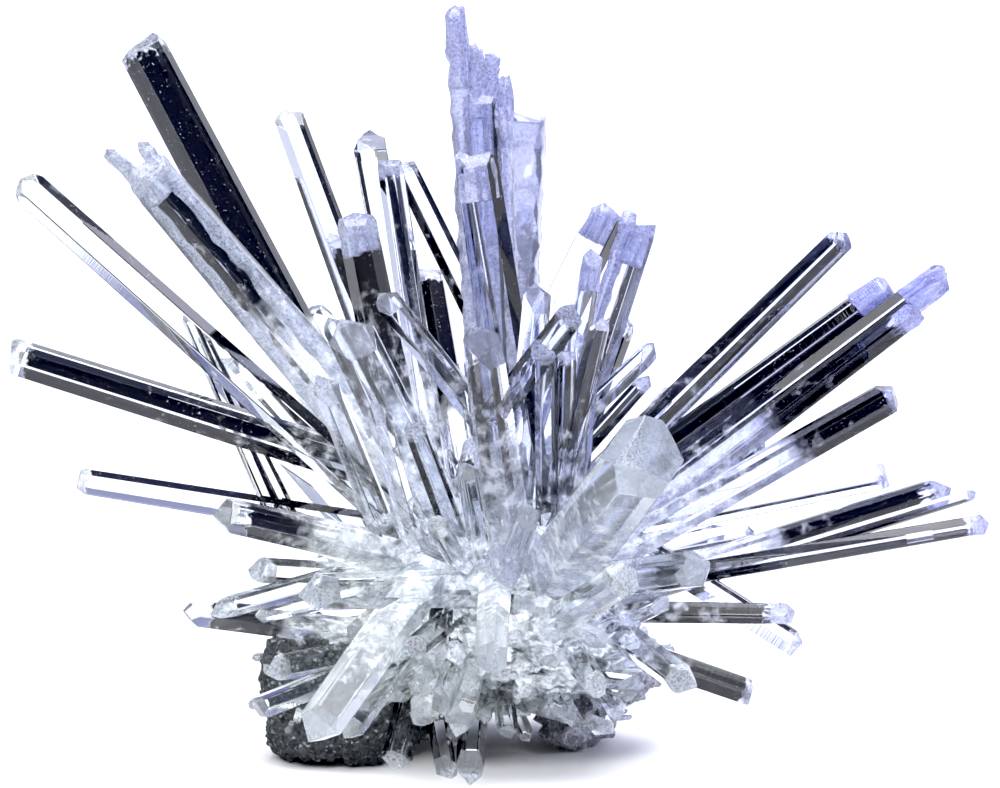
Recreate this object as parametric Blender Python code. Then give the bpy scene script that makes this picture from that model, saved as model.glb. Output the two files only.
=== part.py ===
"""Quartz cluster: a spray of clear crystals fused at their roots, on a lump of granular rock."""

import math
import random

import bmesh
import bpy
from mathutils import Matrix, Vector, noise

MM = 0.001
GAP = 0.3 * MM
# The faces of a quartz point lean this far from the crystal's long axis.
TIP_LEAN = math.radians(38.2)
# How unequal the six sides of a crystal are, as a share of its width.
UNEVEN = 0.13
BROKEN_TILT = math.radians(16)

# The mass where the crystals grew together: centre and half sides.
HEART_CENTRE = Vector((-1, 2, 27)) * MM
HEART_HALF = Vector((17, 13, 14)) * MM
HEART_ROUGH = 1.6 * MM
# The lower front of that mass, which hangs between the rock's two feet.
APRON_CENTRE = Vector((1, -5, 19.5)) * MM
APRON_HALF = Vector((19, 10, 10)) * MM

# Lumps of the rock under the crystals: centre, half sides.
ROCK_LUMPS = (
    ((-20, 11, 8), (12, 15, 9)),
    ((-29, 4, 13.5), (8, 11, 9.5)),
    ((-27.5, 2, 6), (8.5, 9, 6.5)),
    ((-21, 1, 9), (8, 10, 9.5)),
    ((-5, 20, 14.5), (17, 11, 9.5)),
    ((12, 14, 8), (6.5, 13, 9)),
    ((18, 9, 14), (8, 9, 6)),
)
# The height at which the rock is ground flat, in the same measure as the crystals' tips.
TABLE = 0.8 * MM
ROCK_ROUGH = 1.6 * MM
ROCK_ROUGH_SIZE = 5 * MM

# Small crystals that fill the heart's surface between the big ones.
SMALL_COUNT = 46
SMALL_REACH = (20 * MM, 27 * MM)
SMALL_ACROSS = (2.2, 3.8)
SMALL_LOWEST = -0.45

# A hexagon across its flats is this share of the width it shows on average.
FLATS_SHARE = 0.91

# Distances from a tip to its six faces, in half widths. A dominant face comes first.
ENDS = {
    "point": (0.0, 0.5, 0.1, 0.45, 0.05, 0.55),
    "chisel": (-0.25, 0.75, 0.5, 0.9, 0.6, 0.8),
    "blunt": (0.45, 0.9, 0.6, 0.95, 0.5, 0.85),
}

# Each crystal: tip in mm, root in mm, width across its sides in mm, turn about its axis in
# degrees, the way it ends, and how many times wider it is at the root.
LEFT = (
    ((-56, 30, 108), (-16.5, 12, 36), 7, 20, "blunt", 1.1),
    ((-53.2, 4, 91), (-10.5, -1, 41), 6.6, 25, "blunt", 1.3),
    ((-58.2, 4.5, 93.6), (-12.7, -1, 39), 2.2, 0, "chisel", 1.3),
    ((-53.4, 3.5, 94.6), (-9.2, -1, 42), 2.4, 40, "chisel", 1.3),
    ((-72.4, 8, 89), (-13.5, -2, 37.5), 4.8, 10, "point", 1.2),
    ((-73, 2, 62.6), (-10.5, 3, 42.5), 5.6, 28, "blunt", 1.1),
    ((-64.5, 12, 42.2), (-12, 5, 35), 3.8, 15, "blunt", 1.2),
    ((-48, 18, 67), (-34.5, 8, 38), 2.2, 0, "point", 1.2),
    ((-45.8, 20, 63.7), (-31.5, 7.6, 37.4), 2, 30, "point", 1.2),
    ((-43.3, 22, 59), (-16.7, 8, 30.7), 5.4, 12, "chisel", 1.1),
    ((-39.8, -22, 42.8), (-13.4, -5, 33.6), 4.8, 30, "blunt", 1.15),
    ((-35.6, -18, 33.8), (-14.9, -3, 29.6), 3.6, 5, "chisel", 1.1),
    ((-40.6, -24, 29), (-12, -4, 33.5), 3.1, 20, "chisel", 1.2),
    ((-35.3, -20, 27.3), (-15, -5, 29.3), 2.4, 0, "point", 1.1),
    ((-46.9, -8, 25.7), (-10, 2.5, 19), 3.8, 35, "point", 1.2),
    ((-27.6, -21, 31.2), (-1, -11, 30), 5.2, 22, "chisel", 1.1),
    ((-33.6, -14, 18.1), (-14, -4, 20), 3.4, 10, "chisel", 1.1),
    ((-35, -22, 14.1), (-13, -5, 19.5), 3.5, 30, "blunt", 1.1),
    ((-25.8, -36, 14.2), (-9, -5, 33), 5.8, 15, "blunt", 1.1),
    ((-21.3, -30, 12.6), (-7, -4, 28), 3.6, 12, "blunt", 1.1),
)

TOP = (
    ((-32.3, 14, 98.8), (-10.5, 3, 40.8), 4.4, 18, "chisel", 1.25),
    ((-20.6, 32, 94.3), (-9.2, 12, 40), 6.2, 30, "point", 1.1),
    ((-21.7, 6, 83.4), (-12.8, -1, 40), 5.4, 0, "blunt", 1.1),
    ((-16.8, 20, 90.7), (-9, 7, 40), 3.9, 10, "blunt", 1.1),
    ((-14.9, 24, 90), (1, 4, 60), 3.7, 35, "blunt", 1.1),
    ((-6.6, 4, 115), (-2.5, 0, 58), 2.8, 5, "point", 1.5),
    ((-3.6, 4, 109.4), (-1.5, 0, 58), 1.8, 20, "point", 1.6),
    ((-1.2, 4.5, 108), (0, 0, 58), 2.9, 30, "point", 1.4),
    ((0.8, 4, 105), (1.5, 1, 58), 2.3, 12, "point", 1.4),
    ((-2.7, 4, 102), (0, -1, 38), 5.6, 8, "blunt", 1.25),
    ((-3.4, -3, 93.2), (4.5, -3, 40), 6.4, 0, "blunt", 1.3),
    ((-5.4, -3, 93.6), (2, -3, 50), 2.2, 20, "chisel", 1.3),
    ((4.2, 26, 97), (2.3, 8, 40), 6.8, 20, "blunt", 1.1),
    ((17, 6, 84.6), (0, 6, 50), 5.4, 0, "blunt", 1.1),
    ((21.4, 1, 82.6), (9, 0, 44), 4.8, 28, "blunt", 1.1),
    ((19.9, 1, 84.7), (8, 0, 46), 2, 10, "chisel", 1.4),
    ((14.2, -6, 79.2), (8.5, -4, 42), 3, 5, "chisel", 1.1),
    ((5.9, -8, 73.9), (3, -5, 42), 4.1, 20, "chisel", 1.1),
    ((10.8, -16, 71.3), (0, -8, 56), 4.4, 25, "blunt", 1.05),
    ((15.2, -10, 70), (9, -6, 42), 2.8, 15, "point", 1.1),
    ((23.1, -4, 64.5), (6, -2, 48), 3.2, 30, "chisel", 1.1),
    ((19.7, 16, 67), (9, 6, 40), 4, 0, "point", 1.1),
    ((22.8, 4, 59.4), (9, 3, 44), 2.4, 20, "point", 1.2),
)

RIGHT = (
    ((52.8, 6, 81.1), (9.3, 0, 39), 4.4, 10, "point", 1.3),
    ((58.5, 1, 73.9), (11.3, 0, 38.8), 4.2, 30, "blunt", 1.3),
    ((66.7, -2, 75.7), (14, 0, 34.7), 4.6, 5, "chisel", 1.25),
    ((62.2, -4, 70.3), (12, -1, 31), 3.8, 22, "blunt", 1.25),
    ((58.1, -12, 58.7), (12, -4, 30.5), 4.9, 30, "blunt", 1.1),
    ((59.9, 14, 42.6), (13, 4, 35), 4.4, 12, "blunt", 1.1),
    ((69.2, 8, 41.7), (12, 0, 25), 4.7, 25, "point", 1.1),
    ((72, 2, 41.8), (14, 0, 24), 1.8, 0, "point", 1.3),
    ((73, -4, 38.1), (13, -3, 27.5), 3.1, 15, "chisel", 1.2),
    ((39, 6, 35.4), (12, 2, 31), 2.7, 5, "point", 1.1),
    ((43.5, -12, 26), (12, -5, 25), 3.2, 20, "blunt", 1.15),
    ((45.1, -4, 19.6), (12, 1, 40), 3.6, 30, "blunt", 1.1),
    ((27.2, -26, 18.7), (11, -4, 27), 4, 0, "blunt", 1.1),
    ((37.7, -10, 13.7), (11, -2, 21.5), 3.9, 24, "blunt", 1.1),
    ((24.3, -20, 29.3), (11, -6, 20), 2.6, 10, "chisel", 1.1),
)

FRONT = (
    ((-22.2, -8, 68.3), (-8, -5, 38), 6.2, 12, "chisel", 1.1),
    ((-25.3, -2, 68.8), (-10, -1, 38), 3, 0, "point", 1.1),
    ((-25.4, -16, 61.2), (-13, -5, 27), 4, 25, "chisel", 1.1),
    ((-17.8, -15, 57.6), (-11, -6, 30), 2.9, 5, "chisel", 1.1),
    ((-12.2, -18, 55), (-5, -7, 33), 3.6, 28, "blunt", 1.1),
    ((-17.1, 0, 72), (2, -2, 48), 3.8, 15, "chisel", 1.1),
    ((-2.3, -16, 68.4), (2, -6, 34), 5.7, 22, "chisel", 1.3),
    ((7, -12, 66.2), (7.5, -5, 38), 3.4, 10, "chisel", 1.1),
    ((10, -10, 65), (9.5, -5, 38), 3.1, 30, "blunt", 1.1),
    ((13.4, -6, 65.4), (11, -3, 36), 3.2, 0, "chisel", 1.1),
    ((21, -43, 55.3), (9, -5, 31), 11.4, 20, "blunt", 1.12),
    ((28.4, -30, 36.2), (11, -6, 29), 5.4, 8, "blunt", 1.1),
    ((-1.1, -38, 24.7), (-0.5, -6, 30), 4.7, 26, "blunt", 1.1),
    ((18, -34, 35.9), (2, -7, 19.5), 5.2, 15, "blunt", 1.1),
    ((-4.5, -22, 50), (-2, -7, 32), 3.2, 18, "point", 1.1),
    ((-9, -24, 42), (-4, -7, 30), 3, 0, "chisel", 1.1),
    ((4.5, -25, 43.5), (1, -7, 30), 3.4, 34, "chisel", 1.1),
    ((-12, -26, 24), (-5, -6, 26), 3.2, 12, "blunt", 1.1),
    ((7, -29, 30.5), (3, -7, 27), 3.3, 24, "point", 1.1),
    ((-8.5, -25, 15), (-4, -6, 23), 3.4, 30, "chisel", 1.1),
)

BELOW = (
    ((20.4, -16, 16), (3, -6, 16), 3.3, 8, "chisel", 1.1),
    ((14.3, -26, 18.1), (9, -5, 24), 3.4, 25, "blunt", 1.1),
    ((-15.3, -14, 3.8), (-11, -3, 19), 4.4, 14, "blunt", 1.1),
    ((-7.6, -15, 2.6), (-11, -2, 19), 3.3, 28, "chisel", 1.1),
    ((-4.2, -16, 2.6), (-3, -2, 19), 4.1, 5, "chisel", 1.1),
    ((4.7, -8, 5.9), (-2, -2, 19), 2.2, 20, "point", 1.1),
    ((1.5, -14, 8.5), (0, -5, 20), 3.2, 10, "blunt", 1.1),
    ((9.5, -16, 11.5), (5, -5, 20), 3, 30, "point", 1.1),
)

BACK = (
    ((-30, 38, 66), (-9, 8, 34), 4.8, 10, "point", 1.1),
    ((-11, 42, 72), (-4, 9, 36), 4.4, 25, "chisel", 1.1),
    ((4, 38, 82), (0, 9, 38), 3.8, 5, "point", 1.1),
    ((13, 42, 60), (3, 9, 34), 5.2, 18, "blunt", 1.1),
    ((28, 36, 52), (8, 8, 33), 4.2, 30, "chisel", 1.1),
    ((42, 30, 46), (10, 7, 31), 3.8, 0, "point", 1.1),
    ((-38, 34, 54), (-11, 8, 31), 4.2, 22, "blunt", 1.1),
    ((-20, 44, 47), (-6, 10, 30), 4.4, 14, "chisel", 1.1),
    ((1, 46, 44), (0, 10, 29), 5, 28, "point", 1.1),
    ((19, 44, 36), (5, 10, 28), 4.1, 8, "chisel", 1.1),
    ((35, 33, 30), (10, 8, 27), 3.8, 20, "blunt", 1.1),
    ((-37, 30, 34), (-11, 8, 28), 4, 5, "point", 1.1),
    ((-29, 38, 27), (-8, 10, 27), 3.6, 30, "chisel", 1.1),
    ((-8, 44, 28), (-3, 11, 27), 3.8, 12, "point", 1.1),
    ((9, 42, 21), (3, 11, 25), 3.4, 24, "blunt", 1.1),
    ((26, 34, 18), (8, 9, 24), 3.4, 0, "chisel", 1.1),
    ((-4, 34, 58), (-1, 9, 34), 3.4, 16, "chisel", 1.1),
    ((-26, 28, 78), (-7, 8, 38), 3.6, 28, "chisel", 1.1),
    ((40, 22, 56), (9, 6, 34), 3.2, 12, "point", 1.1),
)


def clear_scene():
    for obj in list(bpy.data.objects):
        bpy.data.objects.remove(obj)


def object_of(name, bm):
    """A mesh object made from a bmesh, with its faces turned outwards."""
    bmesh.ops.recalc_face_normals(bm, faces=bm.faces)
    mesh = bpy.data.meshes.new(name)
    bm.to_mesh(mesh)
    bm.free()
    obj = bpy.data.objects.new(name, mesh)
    bpy.context.scene.collection.objects.link(obj)
    return obj


def hidden(obj):
    obj.hide_render = True
    obj.display_type = "WIRE"
    return obj


def axes_of(along):
    """Two directions square to the crystal's axis. The first is turned to the front."""
    front = Vector((0, 0, 1)) if abs(along.y) > 0.9 else Vector((0, -1, 0))
    front = (front - along * front.dot(along)).normalized()
    return front, along.cross(front)


def six_sides(half, turn, rng):
    """Corners of an uneven hexagon, as pairs of distances along the two square directions."""
    reach = [half * (1 + rng.uniform(-UNEVEN, UNEVEN)) for _ in range(6)]
    angles = [turn + math.radians(60) * k for k in range(6)]
    corners = []
    for k in range(6):
        a, b = angles[k], angles[(k + 1) % 6]
        p, q = reach[k], reach[(k + 1) % 6]
        spread = math.sin(b - a)
        x = (p * math.sin(b) - q * math.sin(a)) / spread
        y = (q * math.cos(a) - p * math.cos(b)) / spread
        corners.append((x, y))
    return corners, angles


def cut_off(bm, point, outward):
    """Removes what lies beyond a plane, and closes the cut with a flat face."""
    geometry = list(bm.verts) + list(bm.edges) + list(bm.faces)
    bmesh.ops.bisect_plane(
        bm, geom=geometry, dist=1e-7, plane_co=point, plane_no=outward, clear_outer=True
    )
    rim = [edge for edge in bm.edges if edge.is_boundary]
    if rim:
        bmesh.ops.holes_fill(bm, edges=rim, sides=0)


def crystal(row, seed):
    """A six-sided prism whose far end is cut by the slanting faces of a quartz point."""
    tip, root, across, turn, end, flare = row
    rng = random.Random(seed)
    tip = Vector(tip) * MM
    root = Vector(root) * MM
    along = (tip - root).normalized()
    front, side = axes_of(along)
    half = across * MM / 2 * FLATS_SHARE
    corners, angles = six_sides(half, math.radians(turn), rng)
    bm = bmesh.new()
    far = tip + along * half * 2
    upper = [bm.verts.new(far + front * x + side * y) for x, y in corners]
    lower = [bm.verts.new(root + (front * x + side * y) * flare) for x, y in corners]
    bm.faces.new(upper)
    bm.faces.new(lower)
    for k in range(6):
        n = (k + 1) % 6
        bm.faces.new((lower[k], lower[n], upper[n], upper[k]))
    for k, beyond in enumerate(ENDS[end]):
        beyond += rng.uniform(-0.06, 0.06)
        radial = front * math.cos(angles[k]) + side * math.sin(angles[k])
        outward = radial * math.cos(TIP_LEAN) + along * math.sin(TIP_LEAN)
        cut_off(bm, tip + outward * half * beyond, outward)
    if end == "blunt":
        lean = rng.uniform(0, math.tau)
        radial = front * math.cos(lean) + side * math.sin(lean)
        cut_off(bm, tip, along * math.cos(BROKEN_TILT) + radial * math.sin(BROKEN_TILT))
    return object_of("crystal_" + str(seed), bm)


def small_rows():
    """Rows for the short crystals, spread evenly over the heart and leaning outwards."""
    rng = random.Random(7)
    rows = []
    for n in range(SMALL_COUNT):
        height = 1 - 2 * (n + 0.5) / SMALL_COUNT
        if height < SMALL_LOWEST:
            continue
        bearing = n * math.radians(137.5)
        level = math.sqrt(1 - height * height)
        outward = Vector((level * math.cos(bearing), level * math.sin(bearing), height))
        sway = Vector([rng.uniform(-0.25, 0.25) for _ in range(3)])
        tip = HEART_CENTRE + (outward + sway).normalized() * rng.uniform(*SMALL_REACH)
        root = HEART_CENTRE + outward * 6 * MM
        across = rng.uniform(*SMALL_ACROSS)
        end = rng.choice(("point", "chisel", "blunt"))
        rows.append((tip / MM, root / MM, across, rng.uniform(0, 60), end, 1.15))
    return rows


def lump(name, centre, half, rough, grain, levels):
    """A rounded lump with an uneven surface."""
    bm = bmesh.new()
    bmesh.ops.create_icosphere(bm, subdivisions=levels, radius=1)
    for vert in bm.verts:
        place = Vector([vert.co[k] * half[k] for k in range(3)]) + centre
        bump = noise.noise(place / grain) * rough
        vert.co = place + vert.co.normalized() * bump
    return object_of(name, bm)


def combined(base, others, operation):
    """The base joined with, or cut by, all the others."""
    folder = bpy.data.collections.new(base.name + "_" + operation)
    bpy.context.scene.collection.children.link(folder)
    for other in others:
        bpy.context.scene.collection.objects.unlink(other)
        folder.objects.link(hidden(other))
    boolean = base.modifiers.new(operation.lower(), "BOOLEAN")
    boolean.operation = operation
    boolean.solver = "EXACT"
    boolean.operand_type = "COLLECTION"
    boolean.collection = folder
    bpy.context.view_layer.update()
    graph = bpy.context.evaluated_depsgraph_get()
    mesh = bpy.data.meshes.new_from_object(base.evaluated_get(graph))
    base.modifiers.clear()
    base.data = mesh
    for other in list(folder.objects):
        bpy.data.objects.remove(other)
    bpy.data.collections.remove(folder)


def shells(bm):
    """The mesh's separate closed skins, as lists of faces."""
    left = set(bm.faces)
    found = []
    while left:
        skin = []
        queue = [left.pop()]
        while queue:
            face = queue.pop()
            skin.append(face)
            for edge in face.edges:
                for other in edge.link_faces:
                    if other in left:
                        left.remove(other)
                        queue.append(other)
        found.append(skin)
    return found


def keep_largest_skin(obj):
    """Removes sealed pockets and loose crumbs, which leaves one solid."""
    bm = bmesh.new()
    bm.from_mesh(obj.data)
    bmesh.ops.remove_doubles(bm, verts=bm.verts, dist=1e-6)
    bmesh.ops.dissolve_degenerate(bm, edges=bm.edges, dist=1e-6)
    skins = sorted(shells(bm), key=lambda skin: sum(f.calc_area() for f in skin))
    for skin in skins[:-1]:
        bmesh.ops.delete(bm, geom=skin, context="FACES")
    bm.to_mesh(obj.data)
    bm.free()


def grown(obj, by):
    """A copy of a lump, moved out by the same distance everywhere."""
    bm = bmesh.new()
    bm.from_mesh(obj.data)
    bm.normal_update()
    for vert in bm.verts:
        vert.co += vert.normal * by * vert.calc_shell_factor()
    return object_of(obj.name + "_grown", bm)


def make_rock():
    lumps = []
    for n, (centre, half) in enumerate(ROCK_LUMPS):
        centre = Vector(centre) * MM
        half = Vector(half) * MM
        lumps.append(lump("lump_" + str(n), centre, half, ROCK_ROUGH, ROCK_ROUGH_SIZE, 2))
    rock = lumps[0]
    rock.name = "rock"
    combined(rock, lumps[1:], "UNION")
    keep_largest_skin(rock)
    return rock


def sit_flat(obj):
    """Cuts the underside off at the height of the table."""
    bm = bmesh.new()
    bm.from_mesh(obj.data)
    cut_off(bm, Vector((0, 0, TABLE)), Vector((0, 0, -1)))
    bm.to_mesh(obj.data)
    bm.free()


def stand_on_origin(objects):
    """Moves everything together, so that the origin is at the middle of its box's underside."""
    points = [vert.co for obj in objects for vert in obj.data.vertices]
    middle_x = (min(p.x for p in points) + max(p.x for p in points)) / 2
    middle_y = (min(p.y for p in points) + max(p.y for p in points)) / 2
    for obj in objects:
        obj.data.transform(Matrix.Translation((-middle_x, -middle_y, -TABLE)))


def material(name, colour, roughness, metallic, see_through):
    made = bpy.data.materials.new(name)
    made.use_nodes = True
    shader = made.node_tree.nodes["Principled BSDF"]
    shader.inputs["Base Color"].default_value = (*colour, 1)
    shader.inputs["Roughness"].default_value = roughness
    shader.inputs["Metallic"].default_value = metallic
    shader.inputs["Transmission Weight"].default_value = see_through
    return made


def painted(obj, made):
    obj.data.materials.clear()
    obj.data.materials.append(made)


def build():
    clear_scene()
    rows = list(LEFT + TOP + RIGHT + FRONT + BELOW + BACK) + small_rows()
    stems = [crystal(row, seed) for seed, row in enumerate(rows, 1)]
    crystals = lump("crystals", HEART_CENTRE, HEART_HALF, HEART_ROUGH, 6 * MM, 2)
    apron = lump("apron", APRON_CENTRE, APRON_HALF, HEART_ROUGH, 6 * MM, 2)
    combined(crystals, stems + [apron], "UNION")
    keep_largest_skin(crystals)
    rock = make_rock()
    combined(crystals, [grown(rock, GAP)], "DIFFERENCE")
    keep_largest_skin(crystals)
    sit_flat(rock)
    stand_on_origin([crystals, rock])
    painted(crystals, material("clear_quartz", (0.86, 0.89, 0.95), 0.05, 0, 0.9))
    painted(rock, material("grey_rock", (0.2, 0.21, 0.23), 0.85, 0, 0))


build()
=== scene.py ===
# %% [markdown]
# # A quartz cluster
# Clear quartz often grows as a spray: many six-sided crystals that start from one knot and lean
# out in all directions. This lesson builds such a spray around a solid model that already
# exists, and gives it glass-like faces, frosty tips, a milky heart and a lump of dark rock.
# The solid model comes in first, because every piece made here has to sit where it says.

import math
import random

import bmesh
import bpy
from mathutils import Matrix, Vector, noise


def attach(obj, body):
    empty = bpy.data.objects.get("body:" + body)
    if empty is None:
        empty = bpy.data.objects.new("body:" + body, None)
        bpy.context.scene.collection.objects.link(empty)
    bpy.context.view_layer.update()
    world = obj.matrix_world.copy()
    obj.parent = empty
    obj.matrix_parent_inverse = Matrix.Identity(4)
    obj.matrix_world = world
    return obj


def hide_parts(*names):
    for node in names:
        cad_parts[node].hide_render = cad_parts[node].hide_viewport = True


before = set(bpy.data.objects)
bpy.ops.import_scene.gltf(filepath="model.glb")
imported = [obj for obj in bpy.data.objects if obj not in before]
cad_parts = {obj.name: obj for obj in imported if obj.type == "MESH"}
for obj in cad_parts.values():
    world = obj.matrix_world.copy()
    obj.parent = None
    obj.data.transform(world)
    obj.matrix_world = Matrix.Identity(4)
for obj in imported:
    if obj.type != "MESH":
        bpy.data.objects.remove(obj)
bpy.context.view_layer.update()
MM = 0.001


# %% [markdown]
# ## The camera
# The cluster is about as large as a fist, and is seen from a little above its middle. A long lens
# from about half a metre keeps the crystals that point at the viewer from looking too big.

# %% Camera
VIEW_HEIGHT = math.radians(8)
VIEW_DISTANCE = 0.5625
VIEW_TARGET = Vector((0, 0, 0.0565))
LENS, FILM_WIDTH = 135, 36
NEAREST_SEEN = 0.01
camera_data = bpy.data.cameras.new("camera")
camera_data.lens = LENS
camera_data.sensor_width = FILM_WIDTH
camera_data.clip_start = NEAREST_SEEN
camera = bpy.data.objects.new("camera", camera_data)
bpy.context.scene.collection.objects.link(camera)
looking = Vector((0, math.cos(VIEW_HEIGHT), -math.sin(VIEW_HEIGHT)))
camera.location = VIEW_TARGET - looking * VIEW_DISTANCE
camera.rotation_euler = looking.to_track_quat("-Z", "Y").to_euler()
bpy.context.scene.camera = camera
print("camera stands at", [round(value, 3) for value in camera.location])


# %% [markdown]
# ## Helpers for shader nodes
# A material in Blender is a graph of nodes. These few functions add a node, set its sockets, and
# wire it up, so that each material below reads as a short recipe.

# %% Node helpers
def wire(tree, socket, value):
    """Joins a socket to another one, or sets it to a plain value."""
    if isinstance(value, bpy.types.NodeSocket):
        tree.links.new(value, socket)
    else:
        socket.default_value = value


def node(tree, kind, **inputs):
    """Adds a node, and wires or sets the sockets that are named."""
    made = tree.nodes.new(kind)
    for name, value in inputs.items():
        wire(tree, made.inputs[name.replace("_", " ")], value)
    return made


def new_material(name):
    made = bpy.data.materials.new(name)
    made.use_nodes = True
    made.node_tree.nodes.clear()
    return made, made.node_tree


def give_surface(tree, shader):
    """Ends a material with its shader, and returns the node that takes it."""
    out = node(tree, "ShaderNodeOutputMaterial")
    tree.links.new(shader.outputs[0], out.inputs["Surface"])
    return out


print("made the node helpers")

# %% [markdown]
# ## Sums and mixes
# Most patterns need just three steps: work a number out, turn it into a soft border between 0
# and 1, and mix two colours by it.

# %% Sum and mix helpers
def sum_of(tree, operation, first, second, third=None):
    made = tree.nodes.new("ShaderNodeMath")
    made.operation = operation
    wire(tree, made.inputs[0], first)
    wire(tree, made.inputs[1], second)
    if third is not None:
        wire(tree, made.inputs[2], third)
    return made.outputs[0]


def step_between(tree, value, low, high):
    """0 below low, 1 above high, and a soft change between them."""
    made = tree.nodes.new("ShaderNodeMapRange")
    made.interpolation_type = "SMOOTHSTEP"
    wire(tree, made.inputs["Value"], value)
    wire(tree, made.inputs["From Min"], low)
    wire(tree, made.inputs["From Max"], high)
    return made.outputs["Result"]


def mixed_colour(tree, share, first, second):
    made = tree.nodes.new("ShaderNodeMix")
    made.data_type = "RGBA"
    wire(tree, made.inputs[0], share)
    for socket, value in ((made.inputs[6], first), (made.inputs[7], second)):
        wire(tree, socket, value if isinstance(value, bpy.types.NodeSocket) else (*value, 1))
    return made.outputs[2]


print("made the mix helpers")

# %% [markdown]
# ## Studio
# Glass shows what surrounds it, so the studio matters more than any lamp. Crystals need white
# behind them to look clear, and darkness above that white, so that their slanting faces turn
# grey and black and the edges stand out. The sky here is a pattern by direction alone. Behind
# the cluster a white wall rises a little above the horizon. In front of it the same wall is
# grey, because faces turned to the viewer mirror that one. Above stands a dark room that is
# violet to the right, and a thin white strip all round hides where the floor ends.

# %% Sky colours
RING_TOP = math.sin(math.radians(15))
RING_FADE = math.sin(math.radians(24))
STRIP_TOP = math.sin(math.radians(4.5))
STRIP_FADE = STRIP_TOP * 1.4
VIOLET_SIDE = Vector((0.62, 0.55, 0.45))
VIOLET_SPAN = (-0.5, 0.8)
BACK_SPAN = (-0.2, 0.25)
ROOM_TONES = ((0.08, 0.09, 0.09), (0.22, 0.24, 0.48))  # plain and violet
WALL_TONES = ((1.0, 1.0, 1.0), (0.86, 0.88, 1.0))  # plain and violet
FRONT_WALL = (0.3, 0.3, 0.33)


def facing(tree, seen, direction):
    """How well the direction looked in agrees with a given one; 1 is straight at it."""
    made = tree.nodes.new("ShaderNodeVectorMath")
    made.operation = "DOT_PRODUCT"
    wire(tree, made.inputs[0], seen)
    wire(tree, made.inputs[1], direction)
    return made.outputs["Value"]


def room_and_wall(tree, seen):
    parts = node(tree, "ShaderNodeSeparateXYZ", Vector=seen)
    violet = step_between(tree, facing(tree, seen, VIOLET_SIDE), *VIOLET_SPAN)
    room = mixed_colour(tree, violet, *ROOM_TONES)
    behind = step_between(tree, parts.outputs["Y"], *BACK_SPAN)
    strip = step_between(tree, parts.outputs["Z"], STRIP_FADE, STRIP_TOP)
    bright = sum_of(tree, "MAXIMUM", behind, strip)
    wall = mixed_colour(tree, bright, FRONT_WALL, mixed_colour(tree, violet, *WALL_TONES))
    ring = step_between(tree, parts.outputs["Z"], RING_FADE, RING_TOP)
    return mixed_colour(tree, ring, room, wall)


print("the wall ends at a height of", round(RING_TOP, 2))

# %% [markdown]
# ## Soft boxes
# Lights are round patches of the same sky: a large one overhead and four smaller ones at the
# sides. Small, strong boxes give each crystal a few bright faces and leave the others dark, where
# one big light in front would turn all of them grey.

# %% Soft boxes
SOFT_BOXES = (
    # bearing and height of the middle, half width (all degrees), strength, colour
    (0, 90, 26, 6.0, (1.0, 1.0, 1.0)),
    (-108, 46, 13, 11.0, (1.0, 1.0, 1.0)),
    (-40, 38, 11, 10.0, (0.84, 0.87, 1.0)),
    (65, 42, 17, 4.0, (0.82, 0.84, 1.0)),
    (165, 42, 14, 3.5, (0.95, 0.97, 1.0)),
)
BOX_CORE = 0.85


def direction_of(bearing, height):
    bearing, height = math.radians(bearing), math.radians(height)
    level = math.cos(height)
    return Vector((level * math.cos(bearing), level * math.sin(bearing), math.sin(height)))


def with_soft_boxes(tree, seen, colour):
    for bearing, height, half, strength, tint in SOFT_BOXES:
        near = facing(tree, seen, direction_of(bearing, height))
        edge, core = math.cos(math.radians(half)), math.cos(math.radians(half * BOX_CORE))
        lit = step_between(tree, near, edge, core)
        colour = mixed_colour(tree, lit, colour, [strength * part for part in tint])
    return colour


def make_sky():
    world = bpy.data.worlds.new("studio_sky")
    world.use_nodes = True
    tree = world.node_tree
    tree.nodes.clear()
    seen = node(tree, "ShaderNodeTexCoord").outputs["Generated"]
    colour = with_soft_boxes(tree, seen, room_and_wall(tree, seen))
    background = node(tree, "ShaderNodeBackground", Color=colour, Strength=1.0)
    out = node(tree, "ShaderNodeOutputWorld")
    tree.links.new(background.outputs[0], out.inputs["Surface"])
    bpy.context.scene.world = world


make_sky()
print(len(SOFT_BOXES), "soft boxes in the sky")

# %% [markdown]
# ## Floor
# The floor is one pale matt sheet with a very fine grain. It runs so far back that its edge is
# out of sight.

# %% Floor
FLOOR_HALF = 7.0
FLOOR_TONES = ((0.86, 0.86, 0.87), (0.9, 0.9, 0.9))
FLOOR_GRAIN = 900.0


def make_floor():
    bm = bmesh.new()
    corners = ((-1, -1), (1, -1), (1, 1), (-1, 1))
    bm.faces.new([bm.verts.new((x * FLOOR_HALF, y * FLOOR_HALF, 0)) for x, y in corners])
    mesh = bpy.data.meshes.new("floor")
    bm.to_mesh(mesh)
    bm.free()
    floor = bpy.data.objects.new("floor", mesh)
    bpy.context.scene.collection.objects.link(floor)
    paint, tree = new_material("pale_floor")
    grain = node(tree, "ShaderNodeTexNoise", Scale=FLOOR_GRAIN, Detail=3.0)
    colour = mixed_colour(tree, grain.outputs["Fac"], *FLOOR_TONES)
    give_surface(tree, node(tree, "ShaderNodeBsdfPrincipled", Base_Color=colour, Roughness=0.75))
    mesh.materials.append(paint)


make_floor()
print("floor is", 2 * FLOOR_HALF, "metres wide")

# %% [markdown]
# ## Light paths and tones
# Light has to cross many glass walls before it leaves a cluster, so it may bounce eight times.
# The plain colour transform keeps white white, and a slightly raised black level makes the
# darkest faces truly black.

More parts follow.
